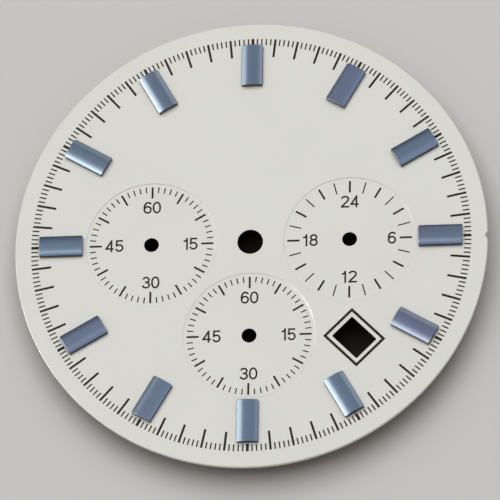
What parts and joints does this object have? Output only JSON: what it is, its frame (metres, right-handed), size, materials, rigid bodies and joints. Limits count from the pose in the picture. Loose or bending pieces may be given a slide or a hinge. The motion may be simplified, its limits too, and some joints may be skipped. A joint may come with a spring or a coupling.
{
  "type": "watch dial",
  "caption": "Round white chronograph dial with applied blue hour indices, sunk small dials, a diamond-set date window, printed scales and dial feet.",
  "frame": {"origin": "on the axis of the centre bore, in the back face of the plate, where the movement seats", "axes": "+Z out of the front face along the bore axis, +Y towards twelve o'clock, +X towards three o'clock; the dial feet point to -Z"},
  "size_m": [0.034, 0.034, 0.0031],
  "materials": {
    "plate_brass": "fine turned",
    "white_lacquer": "gloss lacquer over an off-white ground",
    "index_metal": "satin blue, metallic",
    "foot_metal": "drawn wire",
    "print_ink": "pad printed, satin"
  },
  "bodies": {
    "root": {"dial_plate": "plate_brass", "lacquer_coat": "white_lacquer", "index_01": "index_metal", "index_02": "index_metal", "index_03": "index_metal", "index_04": "index_metal", "index_05": "index_metal", "index_06": "index_metal", "index_07": "index_metal", "index_08": "index_metal", "index_09": "index_metal", "index_10": "index_metal", "index_11": "index_metal", "index_12": "index_metal", "dial_foot_1": "foot_metal", "dial_foot_2": "foot_metal", "print_minute_marks": "print_ink", "print_fifth_marks": "print_ink", "print_hour_marks": "print_ink", "print_date_frame": "print_ink", "print_left_scale": "print_ink", "print_left_numerals": "print_ink", "print_bottom_scale": "print_ink", "print_bottom_numerals": "print_ink", "print_right_scale": "print_ink", "print_right_numerals": "print_ink"}
  },
  "joints": []
}
